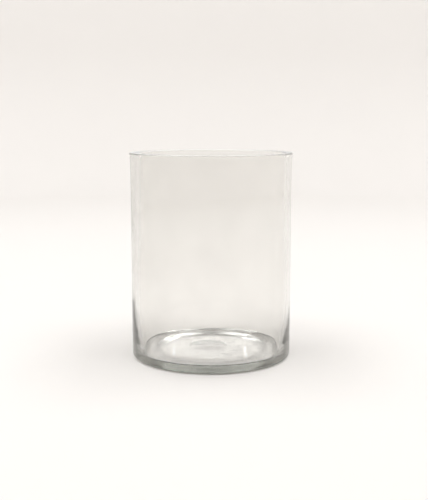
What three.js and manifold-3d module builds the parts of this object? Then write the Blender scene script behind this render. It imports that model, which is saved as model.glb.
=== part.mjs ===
// Glass cylinder vase: one piece of clear soda-lime glass, blown to a straight cylinder. The wall is
// thick at the rim and the middle, thinner near the foot, and thickens again into the base.
// Millimetres, +Z up. The origin is at the centre of the base, on the plane the vase stands on.

import * as THREE from "three";
import { mergeVertices } from "three/addons/utils/BufferGeometryUtils.js";
import Module from "manifold-3d";

// Outside
const rimRadius = 60;
const height = 152;
const bodyRadius = 59.5; // the cylinder opens by half a millimetre towards the rim
const flareStart = 105; // height at which it starts to open
const heelRadius = 2.4; // rounding between the wall and the underside

// Wall and rim
const rimWall = 6.2;
const middleWall = 5.6;
const middleHeight = 95;
const waistWall = 4.3; // the thinnest place
const waistHeight = 42;
const footWall = 6.6; // where the inner corner starts
const outerEdge = 0.5; // the rim is cut flat and its edges are softened
const innerEdge = 0.7;
const boreOffset = 1.1; // at the rim the inside is this far off centre; at the floor it is centred

// Base
const floorHeight = 4.4; // top of the inner floor
const cornerRadius = 1.8; // rounding between the inner floor and the wall
const pushUp = 1.0; // the middle of the underside stands clear of the table
const pushUpRadius = 30; // flat middle of the push-up
const bearingRadius = 43; // inner edge of the flat ring that the vase stands on

// Pontil mark: a shallow round hollow ground into the underside, a little off centre
const pontilRadius = 14.5;
const pontilDepth = 1.1;
const pontilOffset = -2.4;

// Facets
const turns = 72;
const arcSteps = 4;

// Half of a vertical section, from the axis under the base, round the outside, over the rim and
// down the inside, back to the axis.
function vaseProfile() {
  const path = new THREE.Path();
  path.moveTo(0, pushUp);
  path.lineTo(pushUpRadius, pushUp);
  path.quadraticCurveTo((pushUpRadius + bearingRadius) / 2, pushUp, bearingRadius, 0);
  path.lineTo(bodyRadius - heelRadius, 0);
  path.absarc(bodyRadius - heelRadius, heelRadius, heelRadius, -Math.PI / 2, 0, false);
  path.lineTo(bodyRadius, flareStart);
  path.quadraticCurveTo(bodyRadius, (flareStart + height) / 2, rimRadius, height - outerEdge);
  path.absarc(rimRadius - outerEdge, height - outerEdge, outerEdge, 0, Math.PI / 2, false);
  addInside(path);
  return path.getPoints(arcSteps);
}

function addInside(path) {
  const rim = rimRadius - rimWall;
  const middle = bodyRadius - middleWall;
  const waist = bodyRadius - waistWall;
  const foot = bodyRadius - footWall;
  const halfway = (middleHeight + waistHeight) / 2;
  const cornerTop = floorHeight + cornerRadius;
  const lean = Math.atan((2 * (waist - foot)) / (waistHeight - cornerTop));
  const cornerStart = cornerTop - cornerRadius * Math.sin(lean);
  path.lineTo(rim + innerEdge, height);
  path.absarc(rim + innerEdge, height - innerEdge, innerEdge, Math.PI / 2, Math.PI, false);
  path.quadraticCurveTo(middle, flareStart, middle, middleHeight);
  path.quadraticCurveTo(middle, (middleHeight + halfway) / 2, (middle + waist) / 2, halfway);
  path.quadraticCurveTo(waist, (waistHeight + halfway) / 2, waist, waistHeight);
  path.quadraticCurveTo(waist, (waistHeight + cornerStart) / 2, foot, cornerStart);
  path.absarc(foot - cornerRadius * Math.cos(lean), cornerTop, cornerRadius, -lean, -Math.PI / 2, true);
  path.lineTo(0, floorHeight);
}

// The grinding wheel's shape: a low dome that stands on a disc under the vase.
function pontilProfile() {
  const depthBelow = 5;
  const domeRadius = (pontilRadius ** 2 + pontilDepth ** 2) / (2 * pontilDepth);
  const halfAngle = Math.asin(pontilRadius / domeRadius);
  const domeCentre = pushUp + pontilDepth - domeRadius;
  const path = new THREE.Path();
  path.moveTo(0, -depthBelow);
  path.lineTo(pontilRadius, -depthBelow);
  path.absarc(0, domeCentre, domeRadius, Math.PI / 2 - halfAngle, Math.PI / 2, false);
  return path.getPoints(arcSteps);
}

// Points that coincide along a profile would leave empty triangles, so each is kept once.
function distinct(points) {
  return points.filter((point, i) => i === 0 || point.distanceTo(points[i - 1]) > 1e-6);
}

// Turns a profile about +Z and welds it into one closed surface.
function turned(points, segments) {
  const lathe = new THREE.LatheGeometry(distinct(points), segments);
  lathe.deleteAttribute("normal");
  lathe.deleteAttribute("uv");
  lathe.rotateX(Math.PI / 2);
  return mergeVertices(lathe, 1e-5);
}

// Slides the inside off centre, more and more towards the rim. The outside stays where it is, and
// the flat top of the rim takes up the difference.
function leanBore(geometry) {
  const flatWidth = rimWall - outerEdge - innerEdge;
  const position = geometry.attributes.position;
  for (let i = 0; i < position.count; i++) {
    const [x, y, z] = [position.getX(i), position.getY(i), position.getZ(i)];
    const inward = (rimRadius - outerEdge - Math.hypot(x, y)) / flatWidth;
    if (z > heelRadius) {
      position.setX(i, x + boreOffset * THREE.MathUtils.clamp(inward, 0, 1) * (z / height));
    }
  }
  return geometry;
}

const wasm = await Module();
wasm.setup();

// Triangles with a repeated corner come from the profile's ends on the axis and are dropped.
function toSolid(geometry) {
  const corners = geometry.index.array;
  const kept = [];
  for (let i = 0; i < corners.length; i += 3) {
    const [a, b, c] = corners.slice(i, i + 3);
    if (a !== b && b !== c && c !== a) {
      kept.push(a, b, c);
    }
  }
  const vertProperties = new Float32Array(geometry.attributes.position.array);
  return new wasm.Manifold(new wasm.Mesh({ numProp: 3, vertProperties, triVerts: new Uint32Array(kept) }));
}

function toGeometry(solid) {
  const { vertProperties, triVerts } = solid.getMesh();
  const geometry = new THREE.BufferGeometry();
  geometry.setAttribute("position", new THREE.BufferAttribute(vertProperties, 3));
  geometry.setIndex(new THREE.BufferAttribute(triVerts, 1));
  geometry.computeVertexNormals();
  return geometry;
}

function vaseGeometry() {
  const wheel = turned(pontilProfile(), turns / 2);
  wheel.translate(pontilOffset, 0, 0);
  const blown = leanBore(turned(vaseProfile(), turns));
  return toGeometry(toSolid(blown).subtract(toSolid(wheel)));
}

const clearGlass = new THREE.MeshStandardMaterial({
  color: 0xdfe6e1,
  roughness: 0.04,
  metalness: 0,
  transparent: true,
  opacity: 0.35,
});

const vaseBody = new THREE.Mesh(vaseGeometry(), clearGlass);
vaseBody.name = "vase_body";

const vase = new THREE.Group();
vase.add(vaseBody);

export default vase;
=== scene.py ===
"""Glass cylinder vase on a plain pale table, seen from a little above its rim.

Lengths are metres. The vase stands on z = 0 with its axis on x = y = 0.
"""

import math

import bpy
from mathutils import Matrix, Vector


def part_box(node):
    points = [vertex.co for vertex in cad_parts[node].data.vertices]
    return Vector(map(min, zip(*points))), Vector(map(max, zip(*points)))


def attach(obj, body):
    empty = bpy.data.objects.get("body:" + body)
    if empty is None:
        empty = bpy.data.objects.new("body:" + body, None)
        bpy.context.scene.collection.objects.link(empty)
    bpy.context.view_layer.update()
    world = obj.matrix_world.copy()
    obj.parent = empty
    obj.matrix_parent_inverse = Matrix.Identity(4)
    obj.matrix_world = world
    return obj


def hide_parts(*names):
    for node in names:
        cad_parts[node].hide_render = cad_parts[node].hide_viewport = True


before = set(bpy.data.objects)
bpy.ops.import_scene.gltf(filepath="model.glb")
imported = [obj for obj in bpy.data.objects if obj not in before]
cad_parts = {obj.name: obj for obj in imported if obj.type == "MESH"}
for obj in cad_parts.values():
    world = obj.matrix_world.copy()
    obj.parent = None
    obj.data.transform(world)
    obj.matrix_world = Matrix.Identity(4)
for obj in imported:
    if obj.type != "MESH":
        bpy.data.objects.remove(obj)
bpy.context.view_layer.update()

MM = 0.001

# ---------------------------------------------------------------- the vase's dimensions

NODE = "vase_body"
body_low, body_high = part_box(NODE)
HEIGHT = body_high.z
RIM_RADIUS = (body_high.x - body_low.x) / 2
FLARE = 0.5 * MM  # the wall opens by this much towards the rim
BODY_RADIUS = RIM_RADIUS - FLARE
FLARE_START = 105 * MM
HEEL_RADIUS = 2.4 * MM

RIM_WALL = 6.2 * MM
MIDDLE_WALL = 5.6 * MM
MIDDLE_HEIGHT = 95 * MM
WAIST_WALL = 4.3 * MM  # the thinnest place
WAIST_HEIGHT = 42 * MM
FOOT_WALL = 6.6 * MM  # where the inner corner starts
OUTER_EDGE = 0.5 * MM
INNER_EDGE = 0.7 * MM
BORE_OFFSET = 1.1 * MM  # at the rim; at the floor the inside is centred

FLOOR_HEIGHT = 4.4 * MM
CORNER_RADIUS = 1.8 * MM
PUSH_UP = 1.0 * MM
PUSH_UP_RADIUS = 30 * MM
BEARING_RADIUS = 43 * MM

PONTIL_RADIUS = 14.5 * MM
PONTIL_DEPTH = 1.1 * MM
PONTIL_CENTRE = Vector((-2.4 * MM, 0))
PONTIL_LIP = 0.3 * MM  # a flat this wide keeps the hollow's edge crisp

# How far the blown walls stray from round, and where the straying starts
OUTER_OVAL = 0.10 * MM
OUTER_WAVE = 0.05 * MM
BORE_OVAL = 0.16 * MM
BORE_WAVE = 0.10 * MM
STRAY_START = 12 * MM

TURNS = 288  # points round each ring of the mesh


# ---------------------------------------------------------------- profile of the glass

def line(start, end, steps):
    """Points from start to end, without the start."""
    return [start.lerp(end, i / steps) for i in range(1, steps + 1)]


def arc(centre, radius, begin, finish, steps):
    """Points of a circle's arc between two angles in degrees, without the first."""
    angles = [math.radians(begin + (finish - begin) * i / steps) for i in range(1, steps + 1)]
    return [centre + radius * Vector((math.cos(a), math.sin(a))) for a in angles]


def bend(start, control, end, steps):
    """Points of a quadratic curve, without the start."""
    points = []
    for i in range(1, steps + 1):
        t = i / steps
        points.append(start.lerp(control, t).lerp(control.lerp(end, t), t))
    return points


def underside_profile():
    """From the middle of the ground hollow to the inner edge of the bearing ring."""
    dome_radius = (PONTIL_RADIUS**2 + PONTIL_DEPTH**2) / (2 * PONTIL_DEPTH)
    dome_centre = Vector((0, PUSH_UP + PONTIL_DEPTH - dome_radius))
    edge_angle = math.degrees(math.acos(PONTIL_RADIUS / dome_radius))
    points = [Vector((0, PUSH_UP + PONTIL_DEPTH))]
    points += arc(dome_centre, dome_radius, 90, edge_angle, 14)
    points += line(points[-1], points[-1] + Vector((PONTIL_LIP, 0)), 1)
    points += line(points[-1], Vector((PUSH_UP_RADIUS, PUSH_UP)), 10)
    middle = Vector(((PUSH_UP_RADIUS + BEARING_RADIUS) / 2, PUSH_UP))
    return points + bend(points[-1], middle, Vector((BEARING_RADIUS, 0)), 12)


def outside_profile():
    """From the bearing ring, round the heel and up the wall to the rim's flat top."""
    ring_end = Vector((BODY_RADIUS - HEEL_RADIUS, 0))
    points = line(Vector((BEARING_RADIUS, 0)), ring_end, 6)
    points += arc(ring_end + Vector((0, HEEL_RADIUS)), HEEL_RADIUS, -90, 0, 18)
    points += line(points[-1], Vector((BODY_RADIUS, FLARE_START)), 30)
    control = Vector((BODY_RADIUS, (FLARE_START + HEIGHT) / 2))
    points += bend(points[-1], control, Vector((RIM_RADIUS, HEIGHT - OUTER_EDGE)), 14)
    edge_centre = Vector((RIM_RADIUS - OUTER_EDGE, HEIGHT - OUTER_EDGE))
    return points + arc(edge_centre, OUTER_EDGE, 0, 90, 10)


def inside_profile():
    """From the rim's flat top down the bore and along the floor to the axis."""
    rim = RIM_RADIUS - RIM_WALL
    middle = Vector((BODY_RADIUS - MIDDLE_WALL, MIDDLE_HEIGHT))
    waist = Vector((BODY_RADIUS - WAIST_WALL, WAIST_HEIGHT))
    halfway = (middle + waist) / 2
    corner_top = FLOOR_HEIGHT + CORNER_RADIUS
    lean = math.atan(2 * (FOOT_WALL - WAIST_WALL) / (WAIST_HEIGHT - corner_top))
    foot = Vector((BODY_RADIUS - FOOT_WALL, corner_top - CORNER_RADIUS * math.sin(lean)))
    edge_centre = Vector((rim + INNER_EDGE, HEIGHT - INNER_EDGE))
    corner_centre = Vector((foot.x - CORNER_RADIUS * math.cos(lean), corner_top))
    points = line(Vector((RIM_RADIUS - OUTER_EDGE, HEIGHT)), edge_centre + Vector((0, INNER_EDGE)), 6)
    points += arc(edge_centre, INNER_EDGE, 90, 180, 12)
    points += bend(points[-1], Vector((middle.x, FLARE_START)), middle, 24)
    points += bend(middle, Vector((middle.x, (middle.y + halfway.y) / 2)), halfway, 14)
    points += bend(halfway, Vector((waist.x, (waist.y + halfway.y) / 2)), waist, 14)
    points += bend(waist, Vector((waist.x, (waist.y + foot.y) / 2)), foot, 24)
    points += arc(corner_centre, CORNER_RADIUS, -math.degrees(lean), -90, 14)
    return points + line(points[-1], Vector((0, FLOOR_HEIGHT)), 24)


# ---------------------------------------------------------------- the glass mesh

def blown_shift(angle, height):
    """How far the outer wall strays from round, as blown glass does."""
    oval = OUTER_OVAL * math.cos(2 * angle + 0.7)
    wave = OUTER_WAVE * math.sin(3 * angle + 40 * height) * math.cos(55 * height + 1.3)
    return oval + wave


def bore_shift(angle, height):
    """The inner wall follows the tool less closely, so it wanders more."""
    oval = BORE_OVAL * math.cos(2 * angle - 0.9)
    wave = BORE_WAVE * math.sin(5 * angle - 30 * height) * math.cos(70 * height)
    return oval + wave


def stray_share(radius, z):
    """How much of a shift a point takes: most on the wall, none at the foot, the rim or the axis."""
    outward = min(radius / RIM_RADIUS, 1) ** 8
    above_foot = min(z / STRAY_START, 1)
    below_rim = min(max(HEIGHT - OUTER_EDGE - z, 0) / (HEIGHT - FLARE_START), 1)
    return outward * above_foot * below_rim


def vase_rings():
    """Each ring's radius, height, centre and the shift that its wall takes, if any."""
    rings = []
    for radius, z in underside_profile()[1:]:
        slide = 1 - min(max((radius - PONTIL_RADIUS) / (PUSH_UP_RADIUS - PONTIL_RADIUS), 0), 1)
        rings.append((radius, z, PONTIL_CENTRE * slide, None))
    for radius, z in outside_profile():
        rings.append((radius, z, Vector((0, 0)), blown_shift))
    flat_width = RIM_WALL - OUTER_EDGE - INNER_EDGE
    for radius, z in inside_profile()[:-1]:
        slide = min((RIM_RADIUS - OUTER_EDGE - radius) / flat_width, 1) * z / HEIGHT
        rings.append((radius, z, Vector((BORE_OFFSET, 0)) * slide, bore_shift))
    return rings


def vase_mesh():
    """Rings from the hollow under the base, over the rim, to the middle of the inner floor."""
    rings = vase_rings()
    vertices = []
    for radius, z, centre, shift in rings:
        for turn in range(TURNS):
            angle = 2 * math.pi * turn / TURNS
            reach = radius
            if shift:
                reach += shift(angle, z) * stray_share(radius, z)
            vertices.append((centre.x + reach * math.cos(angle), centre.y + reach * math.sin(angle), z))
    faces = []
    for ring in range(len(rings) - 1):
        for turn in range(TURNS):
            after = (turn + 1) % TURNS
            here, there = ring * TURNS, (ring + 1) * TURNS
            faces.append((here + turn, here + after, there + after, there + turn))
    bottom = len(vertices)
    vertices.append((*PONTIL_CENTRE, PUSH_UP + PONTIL_DEPTH))
    top = len(vertices)
    vertices.append((0, 0, FLOOR_HEIGHT))
    last = (len(rings) - 1) * TURNS
    for turn in range(TURNS):
        after = (turn + 1) % TURNS
        faces.append((bottom, after, turn))
        faces.append((top, last + turn, last + after))
    mesh = bpy.data.meshes.new("vase_glass")
    mesh.from_pydata(vertices, [], faces)
    mesh.shade_smooth()
    mesh.update()
    return mesh


def coordinate(nodes, links, stretch=(1, 1, 1)):
    """Object coordinates in metres, stretched along each axis."""
    place = nodes.new("ShaderNodeTexCoord")
    scale = nodes.new("ShaderNodeVectorMath")
    scale.operation = "MULTIPLY"
    scale.inputs[1].default_value = stretch
    links.new(place.outputs["Object"], scale.inputs[0])
    return scale.outputs["Vector"]


def distance_from(nodes, links, centre):
    """Horizontal distance from an upright line through the centre."""
    across = nodes.new("ShaderNodeVectorMath")
    across.operation = "DISTANCE"
    links.new(coordinate(nodes, links, (1, 1, 0)), across.inputs[0])
    across.inputs[1].default_value = (*centre, 0)
    return across.outputs["Value"]


def noise(nodes, links, vector, per_metre, detail, roughness=0.5):
    """Soft random values between nought and one."""
    texture = nodes.new("ShaderNodeTexNoise")
    texture.inputs["Scale"].default_value = per_metre
    texture.inputs["Detail"].default_value = detail
    texture.inputs["Roughness"].default_value = roughness
    links.new(vector, texture.inputs["Vector"])
    return texture.outputs["Fac"]


def remap(nodes, links, value, low, high, new_low, new_high):
    """A clamped, smooth change of range."""
    node = nodes.new("ShaderNodeMapRange")
    node.interpolation_type = "SMOOTHSTEP"
    node.inputs["From Min"].default_value = low
    node.inputs["From Max"].default_value = high
    node.inputs["To Min"].default_value = new_low
    node.inputs["To Max"].default_value = new_high
    links.new(value, node.inputs["Value"])
    return node.outputs["Result"]


def maths(nodes, links, operation, first, second):
    """Two values, each a socket or a number, put together."""
    node = nodes.new("ShaderNodeMath")
    node.operation = operation
    for socket, value in zip(node.inputs, (first, second)):
        if isinstance(value, (int, float)):
            socket.default_value = value
        else:
            links.new(value, socket)
    return node.outputs["Value"]


def scratches(nodes, links, stretch, per_metre, width):
    """Thin broken lines, one where they run and nought elsewhere."""
    vector = coordinate(nodes, links, stretch)
    cells = nodes.new("ShaderNodeTexVoronoi")
    cells.feature = "DISTANCE_TO_EDGE"
    cells.inputs["Scale"].default_value = per_metre
    links.new(vector, cells.inputs["Vector"])
    lines = remap(nodes, links, cells.outputs["Distance"], 0, width, 1, 0)
    broken = noise(nodes, links, vector, per_metre * 0.6, 2)
    return maths(nodes, links, "MULTIPLY", lines, remap(nodes, links, broken, 0.52, 0.6, 0, 1))


def band(nodes, links, height, bottom, full_from, full_to, top):
    """One between two heights, fading to nought at the bottom and the top."""
    rising = remap(nodes, links, height, bottom, full_from, 0, 1)
    falling = remap(nodes, links, height, full_to, top, 1, 0)
    return maths(nodes, links, "MULTIPLY", rising, falling)


def mixed(nodes, links, factor, first, second):
    """A colour between two. The first may be a socket."""
    node = nodes.new("ShaderNodeMix")
    node.data_type = "RGBA"
    links.new(factor, node.inputs["Factor"])
    if isinstance(first, tuple):
        node.inputs["A"].default_value = first
    else:
        links.new(first, node.inputs["A"])
    node.inputs["B"].default_value = second
    return node.outputs["Result"]


def bump(nodes, links, height, distance, under=None, sunk=False):
    """A surface raised, or sunk, by a distance where the height is one."""
    node = nodes.new("ShaderNodeBump")
    node.inputs["Strength"].default_value = 1.0
    node.inputs["Distance"].default_value = distance
    node.invert = sunk
    links.new(height, node.inputs["Height"])
    if under is not None:
        links.new(under, node.inputs["Normal"])
    return node.outputs["Normal"]


# ---------------------------------------------------------------- the glass

GLASS_IOR = 1.52
CLEAN_TINT = (0.99, 0.985, 0.975, 1)
FILMED_TINT = (0.95, 0.945, 0.935, 1)
# Painted shade: the base colour is greyed towards this in the hollow's patch and on the standing ring.
PAINTED_SHADE_TINT = (0.48, 0.47, 0.46, 1)
ABSORBED_COLOUR = (0.315, 0.335, 0.295, 1)
ABSORPTION_PER_METRE = 16.0

FROSTED_ROUGHNESS = 0.10
HOLLOW_ROUGHNESS = 0.10
SCUFF_ROUGHNESS = 0.25
RIM_ROUGHNESS = 0.3
FILM_ROUGHNESS = 0.018

CORD_RELIEF = 0.06 * MM
CORNER_RELIEF = 0.2 * MM
WEAR_RELIEF = 0.03 * MM


def bearing_marks(nodes, links, height):
    """Grit has frosted the ring that the vase stands on, and nicked the heel above it."""
    grit = noise(nodes, links, coordinate(nodes, links), 900, 4, 0.7)
    # This underside mask also sets where painted shade greys the standing ring.
    under = remap(nodes, links, height, 0.2 * MM, 0.7 * MM, 1, 0)
    frosted = maths(nodes, links, "MULTIPLY", under, remap(nodes, links, grit, 0.45, 0.65, 0, 1))
    low_down = remap(nodes, links, height, 1.0 * MM, 6.0 * MM, 1, 0)
    nicks = maths(nodes, links, "MULTIPLY", low_down, remap(nodes, links, grit, 0.64, 0.76, 0, 1))
    return under, frosted, nicks


def floor_scuffs(nodes, links, height):
    """Stems and stones have scuffed the inner floor in broken strokes, mostly along X and along Y."""
    on_floor = band(nodes, links, height, FLOOR_HEIGHT - 1 * MM, FLOOR_HEIGHT - 0.5 * MM,
                    FLOOR_HEIGHT + 1.5 * MM, FLOOR_HEIGHT + 4 * MM)
    along_y = scratches(nodes, links, (1.0, 0.25, 1), 240, 0.012)
    along_x = scratches(nodes, links, (0.3, 1.0, 1), 200, 0.012)
    return maths(nodes, links, "MULTIPLY", on_floor, maths(nodes, links, "MAXIMUM", along_y, along_x))


def hollow_dull_and_shade(nodes, links, height):
    """The wheel left a patch of the hollow under the base less clear than the blown skin. The same patch is
    also greyed as painted shade.
    """
    in_hollow = band(nodes, links, height, PUSH_UP + 0.05 * MM, PUSH_UP + 0.1 * MM,
                     FLOOR_HEIGHT - 1.5 * MM, FLOOR_HEIGHT - 1 * MM)
    from_patch = distance_from(nodes, links, (PONTIL_CENTRE.x, 4 * MM))
    return maths(nodes, links, "MULTIPLY", in_hollow, remap(nodes, links, from_patch, 7 * MM, 10 * MM, 1, 0))


def corner_ripples(nodes, links, height):
    """The inner corner chilled unevenly where it touched the tool."""
    at_corner = band(nodes, links, height, FLOOR_HEIGHT + 0.1 * MM, FLOOR_HEIGHT + 0.6 * MM,
                     FLOOR_HEIGHT + 3 * MM, FLOOR_HEIGHT + 9 * MM)
    radius = distance_from(nodes, links, (0, 0))
    inside = remap(nodes, links, radius, BODY_RADIUS - 2 * MM, BODY_RADIUS - 1 * MM, 1, 0)
    chill = noise(nodes, links, coordinate(nodes, links, (1, 1, 1.6)), 260, 3)
    return maths(nodes, links, "MULTIPLY", chill, maths(nodes, links, "MULTIPLY", at_corner, inside))


def glass_material():
    """Clear soda-lime glass with the marks of blowing, of the grinding wheel and of use, and painted shade
    under the base.
    """
    material = bpy.data.materials.new("clear_glass")
    material.use_nodes = True
    nodes, links = material.node_tree.nodes, material.node_tree.links
    shader = nodes["Principled BSDF"]
    shader.inputs["IOR"].default_value = GLASS_IOR
    shader.inputs["Transmission Weight"].default_value = 1.0

    place = nodes.new("ShaderNodeTexCoord")
    split = nodes.new("ShaderNodeSeparateXYZ")
    links.new(place.outputs["Object"], split.inputs["Vector"])
    height = split.outputs["Z"]
    under, frosted, nicks = bearing_marks(nodes, links, height)
    scuffed = floor_scuffs(nodes, links, height)
    dulled_and_shaded = hollow_dull_and_shade(nodes, links, height)

    # The rim was cut flat and its edges smoothed, which left them a little dull.
    at_rim = remap(nodes, links, height, HEIGHT - 1.2 * MM, HEIGHT - 0.8 * MM, 0, 1)

    # A thin dry water film and finger marks lie all over.
    film = noise(nodes, links, coordinate(nodes, links, (1, 1, 0.6)), 35, 5, 0.6)
    haze = remap(nodes, links, film, 0.5, 0.75, 0, FILM_ROUGHNESS)
    for mask, roughness in ((frosted, FROSTED_ROUGHNESS), (dulled_and_shaded, HOLLOW_ROUGHNESS),
                            (scuffed, SCUFF_ROUGHNESS), (at_rim, RIM_ROUGHNESS)):
        rough = maths(nodes, links, "MULTIPLY", mask, roughness)
        haze = maths(nodes, links, "MAXIMUM", haze, rough)
    links.new(haze, shader.inputs["Roughness"])

    tint = mixed(nodes, links, remap(nodes, links, film, 0.4, 0.8, 0, 1), CLEAN_TINT, FILMED_TINT)
    # Painted shade: the hollow's patch and the ring the vase stands on are greyed, darkening them where the
    # glass looks dark.
    painted_shade = maths(nodes, links, "MAXIMUM", dulled_and_shaded, maths(nodes, links, "MULTIPLY", under, 0.9))
    links.new(mixed(nodes, links, painted_shade, tint, PAINTED_SHADE_TINT), shader.inputs["Base Color"])

    # Blown glass is not optically flat: long soft cords run up the wall.
    cords = noise(nodes, links, coordinate(nodes, links, (1, 1, 0.25)), 55, 2)
    surface = bump(nodes, links, cords, CORD_RELIEF)
    surface = bump(nodes, links, corner_ripples(nodes, links, height), CORNER_RELIEF, surface)
    worn = maths(nodes, links, "MAXIMUM", nicks, scuffed)
    surface = bump(nodes, links, worn, WEAR_RELIEF, surface, sunk=True)
    links.new(surface, shader.inputs["Normal"])

    absorb = nodes.new("ShaderNodeVolumeAbsorption")
    absorb.inputs["Color"].default_value = ABSORBED_COLOUR
    absorb.inputs["Density"].default_value = ABSORPTION_PER_METRE
    links.new(absorb.outputs["Volume"], nodes["Material Output"].inputs["Volume"])
    return material


vase = bpy.data.objects.new("vase_glass", vase_mesh())
bpy.context.scene.collection.objects.link(vase)
vase.data.materials.append(glass_material())
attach(vase, "root")
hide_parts(NODE)


# ---------------------------------------------------------------- table and sweep

FLOOR_EDGE = 1.3
COVE_RADIUS = 0.35
WALL_TOP = 1.2
PAPER_GAP = 0.3 * MM  # paper doesn't press into the glass
PAPER_COLOUR = (0.80, 0.78, 0.76, 1)


def stage_material():
    """Plain pale matte paper, the same all over."""
    material = bpy.data.materials.new("stage_paper")
    material.use_nodes = True
    shader = material.node_tree.nodes["Principled BSDF"]
    shader.inputs["Base Color"].default_value = PAPER_COLOUR
    shader.inputs["Roughness"].default_value = 1.0
    shader.inputs["Specular IOR Level"].default_value = 0.0
    return material


def stage_mesh():
    """A round table top that curves up into a wall all the way round."""
    profile = [Vector((0.0, 0))]
    profile += line(Vector((0.0, 0)), Vector((FLOOR_EDGE, 0)), 12)
    profile += arc(Vector((FLOOR_EDGE, COVE_RADIUS)), COVE_RADIUS, -90, 0, 16)
    profile += line(profile[-1], Vector((FLOOR_EDGE + COVE_RADIUS, WALL_TOP)), 8)
    sides = 96
    vertices, faces = [(0, 0, 0)], []
    rings = profile[1:]
    for radius, z in rings:
        for side in range(sides):
            angle = 2 * math.pi * side / sides
            vertices.append((radius * math.cos(angle), radius * math.sin(angle), z))
    for side in range(sides):
        faces.append((0, 1 + side, 1 + (side + 1) % sides))
    for ring in range(len(rings) - 1):
        for side in range(sides):
            after = (side + 1) % sides
            here, there = 1 + ring * sides, 1 + (ring + 1) * sides
            faces.append((here + side, there + side, there + after, here + after))
    mesh = bpy.data.meshes.new("stage")
    mesh.from_pydata(vertices, [], faces)
    mesh.shade_smooth()
    return mesh


stage = bpy.data.objects.new("stage", stage_mesh())
bpy.context.scene.collection.objects.link(stage)
stage.data.materials.append(stage_material())
stage.location.z = -PAPER_GAP


# ---------------------------------------------------------------- light

SOFTBOX_PLACE = Vector((0.85, 0.05, 1.9))
SOFTBOX_SIZE = (1.1, 2.0)
SOFTBOX_POWER = 24
LAMP_PLACE = Vector((0.75, 0.2, 1.2))
LAMP_SIZE = (0.25, 0.25)
LAMP_POWER = 5
STRIP_PLACE = Vector((0.178, 1.49, 0.45))
STRIP_SHIFT = Vector((-0.014, 0, 0))
STRIP_SIZE = (0.014, 0.07)
STRIP_POWER = 0.006
BACK_PLACE = Vector((0, 1.5, 0.56))
BACK_SIZE = (1.6, 0.46)
BACK_POWER = 3.9
WORLD_COLOUR = (1, 0.99, 0.97, 1)
WORLD_STRENGTH = 0.30


def area_light(name, place, aim, size, power):
    """A white rectangular light that faces its aim."""
    light = bpy.data.lights.new(name, "AREA")
    light.shape = "RECTANGLE"
    light.size, light.size_y = size
    light.energy = power
    lamp = bpy.data.objects.new(name, light)
    lamp.location = place
    lamp.rotation_euler = (Vector(aim) - Vector(place)).to_track_quat("-Z", "Y").to_euler()
    bpy.context.scene.collection.objects.link(lamp)
    return lamp


for side in (-1, 1):
    mirror = Vector((side, 1, 1))

    # Large and soft, straight overhead, and not reflected in the glass
    softbox_place = SOFTBOX_PLACE * mirror
    softbox_aim = (softbox_place.x, softbox_place.y, 0)
    softbox = area_light(f"softbox_{side}", softbox_place, softbox_aim, SOFTBOX_SIZE, SOFTBOX_POWER)
    softbox.visible_glossy = False

    # For glints in the glass. These don't light the paper.
    lamp = area_light(f"lamp_{side}", LAMP_PLACE * mirror, (0, 0, 0), LAMP_SIZE, LAMP_POWER)
    lamp.visible_diffuse = False
    strip_place = STRIP_PLACE * mirror + STRIP_SHIFT
    strip = area_light(f"strip_{side}", strip_place, (0, 0, 0.1), STRIP_SIZE, STRIP_POWER)
    strip.visible_camera = False
    strip.visible_diffuse = False

# Seen only in and through the glass, which it brightens
back_light = area_light("back_light", BACK_PLACE, (0, 0, 0.2), BACK_SIZE, BACK_POWER)
back_light.visible_camera = False
back_light.visible_diffuse = False

world = bpy.data.worlds.new("studio")
world.use_nodes = True
world.node_tree.nodes["Background"].inputs["Color"].default_value = WORLD_COLOUR
world.node_tree.nodes["Background"].inputs["Strength"].default_value = WORLD_STRENGTH
bpy.context.scene.world = world


# ---------------------------------------------------------------- camera

CAMERA_DISTANCE = 11 * BODY_RADIUS
CAMERA_HEIGHT = 3 * BODY_RADIUS
AIM = Vector((2.2 * MM, 0, 79 * MM))
LENS = 63.5

camera_data = bpy.data.cameras.new("camera")
camera_data.lens = LENS
camera_data.sensor_width = 36
camera_data.clip_start = 0.01
camera_data.clip_end = 20
camera = bpy.data.objects.new("camera", camera_data)
camera.location = (0, -CAMERA_DISTANCE, CAMERA_HEIGHT)
camera.rotation_euler = (AIM - camera.location).to_track_quat("-Z", "Y").to_euler()
bpy.context.scene.collection.objects.link(camera)
bpy.context.scene.camera = camera

scene = bpy.context.scene
scene.view_settings.view_transform = "Standard"
scene.cycles.max_bounces = 32
scene.cycles.transmission_bounces = 24
scene.cycles.glossy_bounces = 16
scene.cycles.volume_bounces = 0
scene.cycles.sample_clamp_indirect = 0
